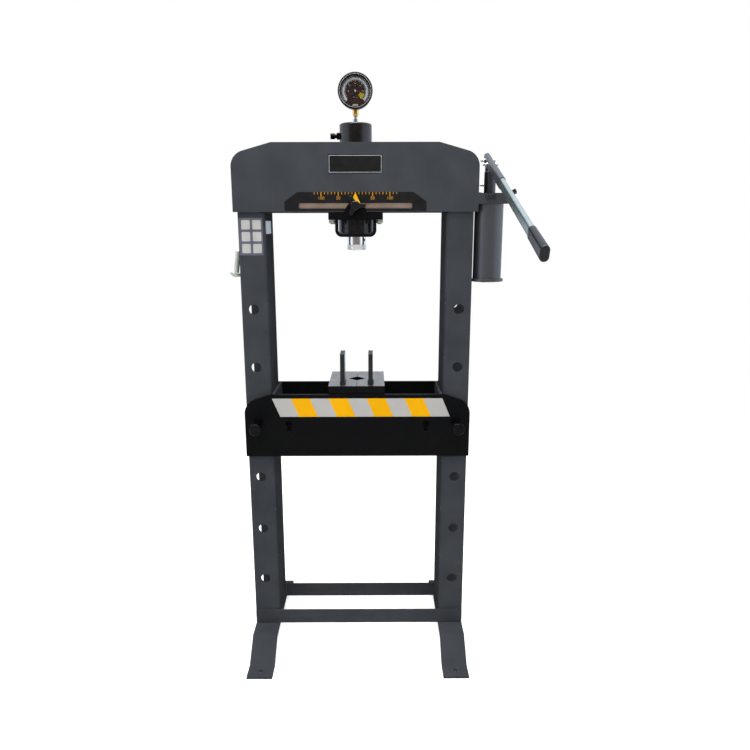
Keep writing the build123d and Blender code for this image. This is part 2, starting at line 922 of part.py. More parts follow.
def pump_piston():
    rod = bar_z(rod_d, bracket_top - rod_below, piston_pin_z + rod_above, pump_x, piston_pin_y)
    rod = fillet(rod.edges().group_by(Axis.Z)[-1], rod_round)
    hole_d = pivot_pin_d + 2 * fit_gap
    return rod - bar_x(hole_d, pump_x - rod_d, pump_x + rod_d, piston_pin_y, piston_pin_z)


# The lever is drawn level, pointing to the front from its pivot, and then set at its angle
def at_lever(shape):
    return Pos(pump_x, pivot_y, pivot_z) * Rot(lever_angle, 0, 0) * shape


def oval(width, height):
    return Rot(0, 0, 90) * SlotOverall(height, width)


def oval_bar(width, height, start, end):
    return from_front(oval(width, height), -end, -start)


# Oval tube, open below over the barrel, with round holes for the pivot and slots for the piston pin
def lever_socket():
    socket = oval_bar(socket_width, socket_height, -socket_back, socket_front)
    wide = tube_width + 2 * fit_gap
    high = tube_height + 2 * fit_gap
    socket -= oval_bar(wide, high, -socket_back - cut_past, socket_front + cut_past)
    pivot = Circle(pivot_pin_d / 2 + running_gap)
    near = pivot_pitch_y - slot_play
    far = pivot_pitch_y / cos(radians(lever_swing - lever_angle)) + slot_play
    run = Pos(-(near + far) / 2, 0) * SlotCenterToCenter(far - near, pivot_pin_d + 2 * slot_play)
    socket -= from_side(pivot, -socket_width, socket_width)
    socket -= from_side(run, -socket_width, socket_width)
    socket -= block(-wide / 2, wide / 2, -socket_open, socket_back + cut_past, -socket_height, 0)
    left = pump_x - socket_width
    front = piston_pin_y - barrel_d / 2 - socket_lift
    back = pivot_y + 2 * socket_back
    low = barrel_top + socket_lift
    return at_lever(socket) - block(left, pump_x + socket_width, front, back, bracket_top, low)


def lever_tube():
    tube = oval_bar(tube_width, tube_height, tube_start, tube_end)
    wide = tube_width - 2 * tube_wall
    high = tube_height - 2 * tube_wall
    return at_lever(tube - oval_bar(wide, high, tube_start - cut_past, tube_end + cut_past))


# Soft sleeve that widens a little towards its closed end
def lever_grip():
    start = Plane.XZ.offset(grip_start) * oval(grip_start_width, grip_start_height)
    end = Plane.XZ.offset(grip_end) * oval(grip_width, grip_height)
    grip = loft([start, end])
    grip = fillet(grip.edges().group_by(Axis.Y)[0], grip_corner)
    wide = tube_width + 2 * fit_gap
    high = tube_height + 2 * fit_gap
    return at_lever(grip - oval_bar(wide, high, grip_start - cut_past, tube_end + fit_gap))


# Frame of the spare drift: its own Z runs up its rod
def drift_place():
    return Pos(drift_x, 0, drift_z) * Rot(0, drift_tilt, 0)


def drift():
    cap = drift_cap_d / 2
    quarter = Pos(cap / 2, -drift_cap / 2) * Rectangle(cap, drift_cap)
    rod = Pos(drift_d / 4, drift_length / 2) * Rectangle(drift_d / 2, drift_length)
    rod = chamfer(corners(rod, [(drift_d / 2, drift_length)]), drift_chamfer)
    return drift_place() * spun((Ellipse(cap, drift_cap) & quarter) + rod)


# Bracket on the web of the left leg whose seat holds the rod of the drift from behind
def drift_clip():
    seat = drift_place() * bar_z(drift_d + 2 * seat_gap, -drift_length, 2 * drift_length)
    z0 = drift_z + clip_up - clip_height / 2
    z1 = z0 + clip_height
    rod_x = drift_x + clip_up * tan(radians(drift_tilt))
    near = rod_x + drift_d / 2 + clip_wall
    arm = block(rod_x, -web_out, -clip_wall / 2, clip_wall / 2, z0, z1)
    pad = block(-web_out - clip_wall, -web_out, -clip_pad_half, clip_pad_half, z0, z1)
    hook = block(rod_x, near, -clip_wall / 2, drift_d / 2 + clip_wall, z0, z1)
    return arm + pad + hook - seat


leg = right_leg()
foot = right_foot()
tie = right_tie_plate()
table_end = table_right_end()

parts = {
    "left_leg": mirrored(leg) + drift_clip(),
    "right_leg": leg,
    "left_foot": mirrored(foot),
    "right_foot": foot,
    "front_crossbar": crossbar(-leg_half - crossbar_wall),
    "rear_crossbar": crossbar(leg_half),
    "head_front_plate": head_front_plate(),
    "head_rear_plate": head_rear_plate(),
    "front_rail": rail(-leg_half),
    "rear_rail": rail(leg_half - rail_wall),
    "left_tie_plate": mirrored(tie),
    "right_tie_plate": tie,
    "table_front_plate": table_plate(-table_out),
    "table_rear_plate": table_plate(table_in),
    "table_left_end": mirrored(table_end),
    "table_right_end": table_end,
    "left_arbor_plate": arbor_plate(-1),
    "right_arbor_plate": arbor_plate(1),
    "left_table_pin": table_pin(-1),
    "right_table_pin": table_pin(1),
    "carriage_plate": carriage_plate(),
    "left_hanger": hanger(-1),
    "right_hanger": hanger(1),
    "carriage_nuts": carriage_nuts(),
    "clamp_tongue": clamp_tongue(),
    "clamp_nut": clamp_nut(),
    "clamp_knob": clamp_knob(),
    "position_pointer": pointer(),
    "pull_handle": pull_handle(),
    "cylinder_tube": cylinder_tube(),
    "cylinder_collar": cylinder_collar(),
    "ram": ram(),
    "ram_saddle": ram_saddle(),
    "saddle_screw": saddle_screw(),
    "return_spring": return_spring(),
    "hose_fitting": hose_fitting(),
    "gauge_adapter": gauge_adapter(),
    "gauge_stem": gauge_stem(),
    "gauge_case": gauge_case(),
    "gauge_bezel": gauge_bezel(),
    "gauge_dial": gauge_dial(),
    "gauge_lens": gauge_lens(),
    "gauge_needle": gauge_needle(),
    "pump_bracket": pump_bracket(),
    "bracket_screws": bracket_screws(),
    "reservoir": reservoir(),
    "reservoir_base": reservoir_base(),
    "drain_plug": drain_plug(),
    "pump_block": pump_block(),
    "pump_barrel": pump_barrel(),
    "bleed_nipple": bleed_nipple(),
    "fulcrum_post": fulcrum_post(),
    "fulcrum_pin": cross_pin(pivot_y, pivot_z),
    "pump_piston": pump_piston(),
    "piston_pin": cross_pin(piston_pin_y, piston_pin_z),
    "lever_socket": lever_socket(),
    "lever_tube": lever_tube(),
    "lever_grip": lever_grip(),
    "release_knob": release_knob(),
    "spare_drift": drift(),
}

os.makedirs("parts", exist_ok=True)
for name, shape in parts.items():
    export_step(shape, f"parts/{name}.step")
print(len(parts), "nodes; lever pivot at Z", round(pivot_z, 3), "and gauge centre at Z", gauge_z)
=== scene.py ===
import bpy
import bmesh
import random
from math import cos, pi, radians, sin
from mathutils import Matrix, Vector


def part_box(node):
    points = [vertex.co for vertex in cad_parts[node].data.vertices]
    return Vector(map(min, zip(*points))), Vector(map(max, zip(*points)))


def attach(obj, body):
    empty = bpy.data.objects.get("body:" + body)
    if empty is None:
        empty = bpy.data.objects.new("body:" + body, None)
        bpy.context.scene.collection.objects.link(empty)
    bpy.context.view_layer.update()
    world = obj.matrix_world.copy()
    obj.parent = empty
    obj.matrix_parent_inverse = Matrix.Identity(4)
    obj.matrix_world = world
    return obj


# Workshop press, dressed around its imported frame.
# Metres, floor at Z 0, front towards -Y.
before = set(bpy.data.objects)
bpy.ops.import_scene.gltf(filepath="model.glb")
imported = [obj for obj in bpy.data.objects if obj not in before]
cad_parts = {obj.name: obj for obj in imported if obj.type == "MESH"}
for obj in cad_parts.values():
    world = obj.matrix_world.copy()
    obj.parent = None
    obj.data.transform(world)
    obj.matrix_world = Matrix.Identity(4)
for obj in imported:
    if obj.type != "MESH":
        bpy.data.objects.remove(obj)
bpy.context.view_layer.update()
mm = 0.001
arborThick = 26 * mm
random.seed(7)
print("frame loaded:", len(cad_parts), "nodes")


def linear(hexColour):
    # sRGB hex to the linear values that shaders use
    values = [int(hexColour[i:i + 2], 16) / 255 for i in (1, 3, 5)]
    return (*[v / 12.92 if v <= 0.04045 else ((v + 0.055) / 1.055) ** 2.4 for v in values], 1)


def addNode(tree, kind, values=None, links=None, **options):
    # one node: options are its own settings, values and links go to its sockets
    node = tree.nodes.new("ShaderNode" + kind)
    for key, value in options.items():
        setattr(node, key, value)
    for key, value in (values or {}).items():
        node.inputs[key].default_value = value
    for key, output in (links or {}).items():
        tree.links.new(output, node.inputs[key])
    return node


def newMaterial(name, **values):
    # an empty material with one Principled shader, and its object coordinates
    material = bpy.data.materials.new(name)
    material.use_nodes = True
    tree = material.node_tree
    tree.nodes.clear()
    shader = addNode(tree, "BsdfPrincipled")
    addNode(tree, "OutputMaterial", links={"Surface": shader.outputs[0]})
    for key, value in values.items():
        shader.inputs[key.replace("_", " ")].default_value = value
    coords = addNode(tree, "TexCoord")
    return material, tree, shader, coords


def grain(tree, coords, sizeMm, stretch=(1, 1, 1), detail=2.0):
    # noise whose features are about sizeMm across, drawn out along an axis by stretch
    mapped = addNode(tree, "Mapping", {"Scale": [1 / (sizeMm * mm * k) for k in stretch]},
                     {"Vector": coords.outputs["Object"]})
    return addNode(tree, "TexNoise", {"Scale": 1.0, "Detail": detail}, {"Vector": mapped.outputs[0]})


def spread(tree, source, low, high, start=0.3, end=0.7):
    # turns a noise's middle range into values from low to high
    return addNode(tree, "MapRange", {"From Min": start, "From Max": end, "To Min": low, "To Max": high},
                   {"Value": source})


def blendColours(tree, factor, first, second):
    # colour ramp between two colours, or between one colour and another node's
    values = {}
    links = {0: factor}
    for key, colour in ((6, first), (7, second)):
        if isinstance(colour, str):
            values[key] = linear(colour)
        else:
            links[key] = colour
    return addNode(tree, "Mix", values, links, data_type="RGBA").outputs[2]


def finishSurface(tree, shader, colour, roughness, heights, edgeMm):
    # colour and roughness, then each height as a bump over an edge that is slightly rounded
    tree.links.new(colour, shader.inputs["Base Color"])
    tree.links.new(roughness, shader.inputs["Roughness"])
    normal = addNode(tree, "Bevel", {"Radius": edgeMm * mm}, samples=4).outputs[0]
    for height, depthMm, strength in heights:
        bump = addNode(tree, "Bump", {"Distance": depthMm * mm, "Strength": strength},
                       {"Height": height, "Normal": normal})
        normal = bump.outputs[0]
    tree.links.new(normal, shader.inputs["Normal"])


def coated(name, s):
    # polyester powder or stoved enamel on steel: even colour, faint orange peel, soft edges
    material, tree, shader, coords = newMaterial(name, IOR=1.5, Specular_IOR_Level=s["specular"])
    patches = grain(tree, coords, 90)
    colour = blendColours(tree, spread(tree, patches.outputs[0], 0, 1).outputs[0], s["dark"], s["light"])
    smear = grain(tree, coords, 14, detail=4)
    rough = spread(tree, smear.outputs[0], s["rough"] - 0.05, s["rough"] + 0.06)
    peel = grain(tree, coords, s["peelMm"])
    finishSurface(tree, shader, colour, rough.outputs[0], [(peel.outputs[0], 0.05, s["peel"])], s["edgeMm"])
    return material


def bareMetal(name, s):
    # turned, drawn or ground metal: fine lines along one axis, faint stains
    material, tree, shader, coords = newMaterial(name, Metallic=s.get("metallic", 1.0))
    stain = grain(tree, coords, 30, detail=3)
    colour = blendColours(tree, spread(tree, stain.outputs[0], 0, 1).outputs[0], s["dark"], s["light"])
    lines = grain(tree, coords, s["lineMm"], s["stretch"])
    rough = spread(tree, lines.outputs[0], s["rough"] - 0.03, s["rough"] + 0.04)
    finishSurface(tree, shader, colour, rough.outputs[0], [(lines.outputs[0], 0.03, s["lines"])], s["edgeMm"])
    return material


def moulded(name, s):
    # moulded plastic or rubber: eroded mould texture, slight bloom on the surface
    material, tree, shader, coords = newMaterial(name, IOR=1.46, Specular_IOR_Level=s["specular"])
    bloom = grain(tree, coords, 22, detail=3)
    colour = blendColours(tree, spread(tree, bloom.outputs[0], 0, 1).outputs[0], s["dark"], s["light"])
    rough = spread(tree, bloom.outputs[0], s["rough"] - 0.04, s["rough"] + 0.05)
    skin = grain(tree, coords, s["skinMm"])
    finishSurface(tree, shader, colour, rough.outputs[0], [(skin.outputs[0], 0.06, s["skin"])], s["edgeMm"])
    return material


def groundAndOxide(name, s):
    # hot rolled steel with its black skin, ground bright on the top; the left and right faces of the lugs get
    # the same bright steel as a painted highlight
    material, tree, shader, coords = newMaterial(name, Specular_IOR_Level=s["specular"])
    normal = addNode(tree, "SeparateXYZ", links={0: coords.outputs["Normal"]})
    place = addNode(tree, "SeparateXYZ", links={0: coords.outputs["Object"]})
    side = addNode(tree, "Math", links={0: normal.outputs["X"]}, operation="ABSOLUTE")
    sideFaces = addNode(tree, "Math", {1: 0.9}, {0: side.outputs[0]}, operation="GREATER_THAN")
    onLug = addNode(tree, "Math", {1: s["plateTop"] + 0.5 * mm}, {0: place.outputs["Z"]},
                    operation="GREATER_THAN")
    # painted highlight: faces of the lugs that point left or right are given the bright ground steel,
    # standing in for light caught on them
    lugSideHighlight = addNode(tree, "Math", links={0: sideFaces.outputs[0], 1: onLug.outputs[0]},
                      operation="MULTIPLY")
    upFaces = addNode(tree, "Math", {1: 0.9}, {0: normal.outputs["Z"]}, operation="GREATER_THAN")
    notLug = addNode(tree, "Math", {0: 1.0}, {1: onLug.outputs[0]}, operation="SUBTRACT")
    top = addNode(tree, "Math", links={0: upFaces.outputs[0], 1: notLug.outputs[0]}, operation="MULTIPLY")
    groundTopAndLitSides = addNode(tree, "Math", links={0: top.outputs[0], 1: lugSideHighlight.outputs[0]}, operation="MAXIMUM")
    stain = grain(tree, coords, 18, detail=4)
    lines = grain(tree, coords, 0.9, (30, 1, 30))
    pits = addNode(tree, "TexVoronoi", {"Scale": 1 / (s["pitMm"] * mm)}, {"Vector": coords.outputs["Object"]})
    pit = spread(tree, pits.outputs["Distance"], 1, 0, 0.05, 0.12)
    steel = blendColours(tree, spread(tree, stain.outputs[0], 0, 1).outputs[0], s["dark"], s["light"])
    steel = blendColours(tree, pit.outputs[0], steel, s["pitColour"])
    skin = blendColours(tree, onLug.outputs[0], s["oxide"], s["lug"])
    colour = blendColours(tree, groundTopAndLitSides.outputs[0], skin, steel)
    tree.links.new(groundTopAndLitSides.outputs[0], shader.inputs["Metallic"])
    rough = spread(tree, lines.outputs[0], 0.30, 0.44)
    finishSurface(tree, shader, colour, rough.outputs[0], [(lines.outputs[0], 0.03, 0.35)], 0.8)
    return material


# Finishes, each named for the real one
drawnX = (60, 1, 1)
turnedZ = (60, 60, 1)
finishes = {
    # polyester powder coat, anthracite: satin, with a fine orange peel
    "powderCoat": coated("anthracite_powder_coat", {
        "dark": "#3A3D41", "light": "#414448", "specular": 0.0, "rough": 0.6, "peelMm": 1.6, "peel": 0.35,
        "edgeMm": 1.0}),
    # the same grey stoved on the pump's thin sheet: smoother, with more sheen
    "stovedGrey": coated("anthracite_stoved_enamel", {
        "dark": "#24262A", "light": "#2C2E33", "specular": 1.0, "rough": 0.4, "peelMm": 8.0, "peel": 0.02,
        "edgeMm": 1.0}),
    # alkyd paint, black, brushed over thick plate: low sheen
    "blackPaint": coated("black_alkyd_paint", {
        "dark": "#08090A", "light": "#0C0C0D", "specular": 0.06, "rough": 0.48, "peelMm": 2.2,
        "peel": 0.3, "edgeMm": 0.8}),
    # stoved gloss enamel on the cylinder: deep, with soft highlights
    "glossEnamel": coated("black_gloss_enamel", {
        "dark": "#0C0B0C", "light": "#121112", "specular": 0.45, "rough": 0.24, "peelMm": 8.0,
        "peel": 0.03, "edgeMm": 0.8}),
    "yellowEnamel": coated("yellow_enamel", {
        "dark": "#EBA800", "light": "#F6B800", "specular": 0.3, "rough": 0.38, "peelMm": 2.0,
        "peel": 0.15, "edgeMm": 0.3}),
    "needleEnamel": coated("black_needle_lacquer", {
        "dark": "#1B1716", "light": "#241F1D", "specular": 0.3, "rough": 0.4, "peelMm": 2.0, "peel": 0.1,
        "edgeMm": 0.1}),
    "dialEnamel": coated("printed_dial_lacquer", {
        "dark": "#2A1C18", "light": "#33231E", "specular": 0.2, "rough": 0.45, "peelMm": 2.0,
        "peel": 0.08, "edgeMm": 0.2}),
    # drawn bar stock, unpainted and warm from its oil film
    "drawnBar": bareMetal("drawn_mild_steel", {
        "dark": "#C0A894", "light": "#D8C2AE", "rough": 0.42, "lineMm": 0.8, "stretch": drawnX,
        "lines": 0.3, "edgeMm": 0.5}),
    # bright zinc plate, slightly green
    "zincPlate": bareMetal("bright_zinc_plate", {
        "dark": "#B0BCB8", "light": "#BEC9C5", "rough": 0.32, "lineMm": 1.4, "stretch": (1, 40, 1),
        "lines": 0.0, "edgeMm": 0.4}),
    # the same plate gone dull, as on the drift and the nuts
    "dullZinc": bareMetal("dull_zinc_plate", {
        "dark": "#C6CCC0", "light": "#D6DBD0", "rough": 0.5, "lineMm": 1.4, "metallic": 0.55,
        "stretch": (1, 1, 1), "lines": 0.1, "edgeMm": 0.4}),
    # hard chrome on a ground rod
    "hardChrome": bareMetal("hard_chrome", {
        "dark": "#E0DEDC", "light": "#EEECEA", "rough": 0.18, "lineMm": 1.2, "stretch": (1, 1, 60),
        "lines": 0.0, "edgeMm": 0.4}),
    "turnedSteel": bareMetal("turned_steel", {
        "dark": "#EEF0EA", "light": "#FAFAF6", "rough": 0.4, "lineMm": 0.7, "metallic": 0.35,
        "stretch": turnedZ, "lines": 0.25, "edgeMm": 0.5}),
    # oil-blackened steel: dark, with a soft metallic sheen
    "blackOxide": bareMetal("black_oxide_steel", {
        "dark": "#151517", "light": "#222224", "rough": 0.36, "lineMm": 1.0, "stretch": (1, 1, 1),
        "lines": 0.2, "edgeMm": 0.8}),
    "springSteel": bareMetal("spring_steel_wire", {
        "dark": "#55555A", "light": "#6E6E74", "rough": 0.35, "lineMm": 0.8, "stretch": (1, 1, 1),
        "lines": 0.2, "edgeMm": 0.3}),
    "brass": bareMetal("turned_brass", {
        "dark": "#DDA850", "light": "#F4CE88", "rough": 0.25, "lineMm": 0.8, "stretch": turnedZ,
        "lines": 0.2, "edgeMm": 0.4}),
    # phosphated pump barrel, satin grey
    "phosphate": bareMetal("phosphated_steel", {
        "dark": "#46464A", "light": "#5A5A5F", "rough": 0.40, "lineMm": 1.0, "stretch": turnedZ,
        "lines": 0.2, "edgeMm": 0.5}),
    # moulded nylon knobs
    "nylon": moulded("moulded_black_nylon", {
        "dark": "#060607", "light": "#0C0C0D", "rough": 0.36, "specular": 0.4, "skinMm": 1.5, "skin": 0.2,
        "edgeMm": 0.6}),
    # dipped PVC sleeve on the lever
    "vinylGrip": moulded("vinyl_grip", {
        "dark": "#141416", "light": "#1C1C1F", "rough": 0.3, "specular": 0.35, "skinMm": 1.8,
        "skin": 0.05, "edgeMm": 0.8}),
    "rolledPlate": groundAndOxide("ground_rolled_plate", {
        "plateTop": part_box("table_front_plate")[1][2] + arborThick, "dark": "#827E79", "light": "#A09C95",
        "oxide": "#0A0A0A", "lug": "#2A2A2C", "specular": 0.08, "pitMm": 9, "pitColour": "#4A4845"}),
    # weld metal under the same coats: rippled, otherwise as its surroundings
    "weldCoat": coated("coated_weld", {
        "dark": "#33363A", "light": "#44484D", "specular": 0.4, "rough": 0.36, "peelMm": 2.5, "peel": 0.6,
        "edgeMm": 0.3}),
    "blackWeld": coated("black_coated_weld", {
        "dark": "#080808", "light": "#101011", "specular": 0.2, "rough": 0.4, "peelMm": 2.5, "peel": 0.6,
        "edgeMm": 0.3}),
    # printed vinyl films: matt, with a faint grain
    "blackFilm": moulded("black_vinyl_film", {
        "dark": "#101110", "light": "#171817", "rough": 0.45, "specular": 0.2, "skinMm": 2.0, "skin": 0.1,
        "edgeMm": 0.1}),
    "amberPrint": moulded("amber_print", {
        "dark": "#B07816", "light": "#C0861E", "rough": 0.5, "specular": 0.3, "skinMm": 2.0, "skin": 0.05,
        "edgeMm": 0.05}),
    "greyPrint": moulded("grey_print", {
        "dark": "#BEC2C8", "light": "#CCD0D6", "rough": 0.5, "specular": 0.3, "skinMm": 2.0, "skin": 0.05,
        "edgeMm": 0.05}),
    "palePrint": moulded("pale_print", {
        "dark": "#ADADA9", "light": "#B7B7B3", "rough": 0.5, "specular": 0.2, "skinMm": 2.0, "skin": 0.05,
        "edgeMm": 0.05}),
    "dialYellow": moulded("dial_yellow_print", {
        "dark": "#A8900E", "light": "#B89F14", "rough": 0.5, "specular": 0.3, "skinMm": 2.0, "skin": 0.05,
        "edgeMm": 0.05}),
    "paleFilm": moulded("pale_vinyl_film", {
        "dark": "#B0BCBC", "light": "#BCC6C6", "rough": 0.32, "specular": 0.6, "skinMm": 2.0,
        "skin": 0.05, "edgeMm": 0.05}),
    "violetFilm": moulded("grey_violet_film", {
        "dark": "#54545F", "light": "#5E5E69", "rough": 0.45, "specular": 0.35, "skinMm": 2.0,
        "skin": 0.1, "edgeMm": 0.1}),
}


def prismFilm(name, s):
    # retroreflective film: small sealed cells in a diamond grid, drawn coarser than the real 3 mm
    material, tree, shader, coords = newMaterial(name, IOR=1.5, Specular_IOR_Level=0.12)
    cellScale = [1 / (s["cellMm"] * mm)] * 3
    turnedCoords = addNode(tree, "Mapping", {"Rotation": (0, radians(45), 0), "Scale": cellScale},
                           {"Vector": coords.outputs["Object"]})
    cells = addNode(tree, "TexVoronoi", {"Scale": 1.0, "Randomness": 0.0},
                    {"Vector": turnedCoords.outputs[0]}, distance="CHEBYCHEV")
    rim = spread(tree, cells.outputs["Distance"], 0, 1, 0.38, 0.48)
    colour = blendColours(tree, rim.outputs[0], s["face"], s["rim"])
    patches = grain(tree, coords, 60)
    colour = blendColours(tree, spread(tree, patches.outputs[0], 0, 0.5).outputs[0], colour, s["pale"])
    rough = spread(tree, patches.outputs[0], 0.34, 0.44)
    finishSurface(tree, shader, colour, rough.outputs[0], [(rim.outputs[0], 0.05, 0.15)], 0.2)
    return material


def clearGlass(name, s):
    # thin window glass: light goes straight through, and only its sheen shows
    material, tree, shader, coords = newMaterial(name, Alpha=s["alpha"], Specular_IOR_Level=s["specular"])
    film = grain(tree, coords, 25)
    rough = spread(tree, film.outputs[0], 0.03, 0.08)
    tree.links.new(rough.outputs[0], shader.inputs["Roughness"])
    shader.inputs["Base Color"].default_value = linear(s["colour"])
    return material


finishes["greyTape"] = prismFilm("silver_reflective_film", {
    "cellMm": 4, "face": "#B4B2AE", "rim": "#A2A09D", "pale": "#BAB8B4"})
finishes["yellowTape"] = prismFilm("yellow_reflective_film", {
    "cellMm": 4, "face": "#EEAC00", "rim": "#D89C00", "pale": "#F6B408"})
finishes["glass"] = clearGlass("gauge_glass", {"alpha": 0.12, "specular": 0.7, "colour": "#1A1A1A"})
print("finishes made:", len(finishes))

# Which finish each piece of the frame has
nodeFinish = {
    "powderCoat": ["left_leg", "right_leg", "left_foot", "right_foot", "front_crossbar", "rear_crossbar",
                   "head_front_plate", "head_rear_plate", "left_tie_plate", "right_tie_plate", "pump_bracket",
                   "pump_block", "fulcrum_post", "table_left_end", "table_right_end"],
    "stovedGrey": ["reservoir", "reservoir_base", "lever_socket"],
    "blackPaint": ["table_front_plate", "table_rear_plate", "carriage_plate", "clamp_tongue", "pull_handle"],
    "glossEnamel": ["cylinder_tube", "cylinder_collar", "gauge_case", "gauge_bezel"],
    "drawnBar": ["front_rail", "rear_rail", "left_hanger", "right_hanger", "clamp_nut"],
    "zincPlate": ["gauge_adapter", "drain_plug", "fulcrum_pin", "piston_pin", "lever_tube"],
    "dullZinc": ["carriage_nuts", "spare_drift", "bleed_nipple"],
    "hardChrome": ["ram", "pump_piston"],
    "turnedSteel": ["ram_saddle"],
    "blackOxide": ["left_table_pin", "right_table_pin", "saddle_screw", "hose_fitting"],
    "springSteel": ["return_spring"],
    "brass": ["gauge_stem"],
    "phosphate": ["pump_barrel", "bracket_screws"],
    "nylon": ["clamp_knob", "release_knob"],
    "vinylGrip": ["lever_grip"],
    "rolledPlate": ["left_arbor_plate", "right_arbor_plate"],
    "yellowEnamel": ["position_pointer"],
    "dialEnamel": ["gauge_dial"],
    "needleEnamel": ["gauge_needle"],
    "glass": ["gauge_lens"],
}
for finish, nodes in nodeFinish.items():
    for node in nodes:
        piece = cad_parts[node]
        piece.data.materials.clear()
        piece.data.materials.append(finishes[finish])
print("frame dressed:", sum(len(nodes) for nodes in nodeFinish.values()), "nodes")


def addPiece(name, mesh, finish, body):
    # a new piece that rides on a body of the frame
    mesh.materials.clear()
    mesh.materials.append(finishes[finish])
    piece = bpy.data.objects.new(name, mesh)
    bpy.context.scene.collection.objects.link(piece)
    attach(piece, body)
    return piece


def flatMesh(name, loops, thickness, place):
    # closed flat shape with holes: loops are drawn in X and Y, its back is on the place's plane
    curve = bpy.data.curves.new(name, "CURVE")
    curve.dimensions = "2D"
    curve.fill_mode = "BOTH"
    curve.extrude = thickness / 2
    for loop in loops:
        spline = curve.splines.new("POLY")
        spline.points.add(len(loop) - 1)
        for point, (x, y) in zip(spline.points, loop):
            point.co = (x, y, 0, 1)
        spline.use_cyclic_u = True
    return meshFrom(curve, thickness, place)


def textMesh(name, words, height, thickness, place):
    # plain digits, centred, which are 0.7 of the font's size in height
    curve = bpy.data.curves.new(name, "FONT")
    curve.body = words
    curve.size = height / 0.7
    curve.align_x = "CENTER"
    curve.align_y = "CENTER"
    curve.extrude = thickness / 2
    return meshFrom(curve, thickness, place)


def meshFrom(curve, thickness, place):
    holder = bpy.data.objects.new(curve.name, curve)
    mesh = bpy.data.meshes.new_from_object(holder)
    bpy.data.objects.remove(holder)
    mesh.transform(place @ Matrix.Translation((0, 0, thickness / 2)))
    return mesh


def joined(name, meshes):
    # several meshes as one
    work = bmesh.new()
    for mesh in meshes:
        work.from_mesh(mesh)
        bpy.data.meshes.remove(mesh)
    result = bpy.data.meshes.new(name)
    bmesh.ops.remove_doubles(work, verts=work.verts, dist=0.002 * mm)
    work.to_mesh(result)
    work.free()
    return result


def rectangle(x0, x1, y0, y1):
    return [(x0, y0), (x1, y0), (x1, y1), (x0, y1)]


def roundedRectangle(x0, x1, y0, y1, r, steps=6):
    loop = []
    centres = ((x1 - r, y1 - r, 0), (x0 + r, y1 - r, 90), (x0 + r, y0 + r, 180), (x1 - r, y0 + r, 270))
    for cx, cy, start in centres:
        for step in range(steps + 1):
            a = radians(start + 90 * step / steps)
            loop.append((cx + r * cos(a), cy + r * sin(a)))
    return loop


def facingFront(y, x=0.0, z=0.0):
    # plane whose X and Y are the world's X and Z, seen from the front
    return Matrix.Translation((x, y, z)) @ Matrix.Rotation(radians(90), 4, "X")


# Scale film under the head's front plate, with its printed marks
scaleFilm = {"thickness": 0.3 * mm, "print": 0.12 * mm, "half": 207 * mm, "topHalf": 169 * mm,
             "shoulder": 29 * mm, "height": 56 * mm, "bareEdge": 2.6 * mm,
             "slotRim": 0.6 * mm, "slotLow": 9.5 * mm, "slotHigh": 25 * mm, "slotHalf": 166 * mm,
             "slotCorner": 5 * mm, "longEvery": 5, "digits": (-100, -50, 0, 50, 100),
             "tickEvery": 10 * mm, "ticks": 12, "tickLow": 49.5 * mm, "longTickLow": 44.5 * mm,
             "tickWidth": 1.9 * mm, "longTickWidth": 2.8 * mm, "digitHeight": 9 * mm, "digitZ": 38.6 * mm,
             "labelHalf": 78 * mm, "labelHeight": 52 * mm, "labelZ": 134 * mm, "labelCorner": 1.5 * mm,
             "lineOuter": (2.5 * mm, 1.2 * mm), "lineInner": (3.5 * mm, 1.0 * mm)}


def makeScale(s):
    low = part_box("head_front_plate")[0]
    slotLow = low[2] + s["slotLow"] - s["slotRim"]
    slotHigh = low[2] + s["slotHigh"] + s["slotRim"]
    slotHalf = s["slotHalf"] + s["slotRim"]
    half, top = s["half"], s["topHalf"]
    foot = low[2] + s["bareEdge"]
    edge = [(-half, foot), (half, foot), (half, low[2] + s["shoulder"]), (top, low[2] + s["height"]),
            (-top, low[2] + s["height"]), (-half, low[2] + s["shoulder"])]
    slot = roundedRectangle(-slotHalf, slotHalf, slotLow, slotHigh, s["slotCorner"])
    film = flatMesh("scale_film", [edge, slot], s["thickness"], facingFront(low[1]))
    addPiece("scale_film", film, "blackFilm", "frame")
    marks = []
    onFilm = facingFront(low[1] - s["thickness"])
    for i in range(-s["ticks"], s["ticks"] + 1):
        long = i % s["longEvery"] == 0
        width = s["longTickWidth"] if long else s["tickWidth"]
        start = low[2] + (s["longTickLow"] if long else s["tickLow"])
        x = i * s["tickEvery"]
        bar = rectangle(x - width / 2, x + width / 2, start, low[2] + s["height"])
        marks.append(flatMesh("tick", [bar], s["print"], onFilm))
    for x in s["digits"]:
        place = facingFront(low[1] - s["thickness"], x * mm, low[2] + s["digitZ"])
        marks.append(textMesh("digit", str(abs(x)), s["digitHeight"], s["print"], place))
    addPiece("scale_marks", joined("scale_marks", marks), "amberPrint", "frame")
    # plain plate above the scale, left bare but for a line inside its edge
    z = low[2] + s["labelZ"]

    def labelLoop(inset, corner):
        half, tall = s["labelHalf"] - inset, s["labelHeight"] / 2 - inset
        return roundedRectangle(-half, half, z - tall, z + tall, corner)

    plate = flatMesh("bare_label", [labelLoop(0, s["labelCorner"])], s["thickness"], facingFront(low[1]))
    addPiece("bare_label", plate, "blackFilm", "frame")
    loops = [labelLoop(*s["lineOuter"]), labelLoop(*s["lineInner"])]
    addPiece("bare_label_line", flatMesh("bare_label_line", loops, s["print"], onFilm), "greyPrint", "frame")


makeScale(scaleFilm)
print("scale and bare label made")

# Reflective tape on the front of the table, slanted grey and yellow bands
tape = {"left": -265 * mm, "right": 265 * mm, "bands": 9, "slant": 24.5 * mm, "topDrop": 12 * mm,
        "height": 59 * mm, "thickness": 0.3 * mm}


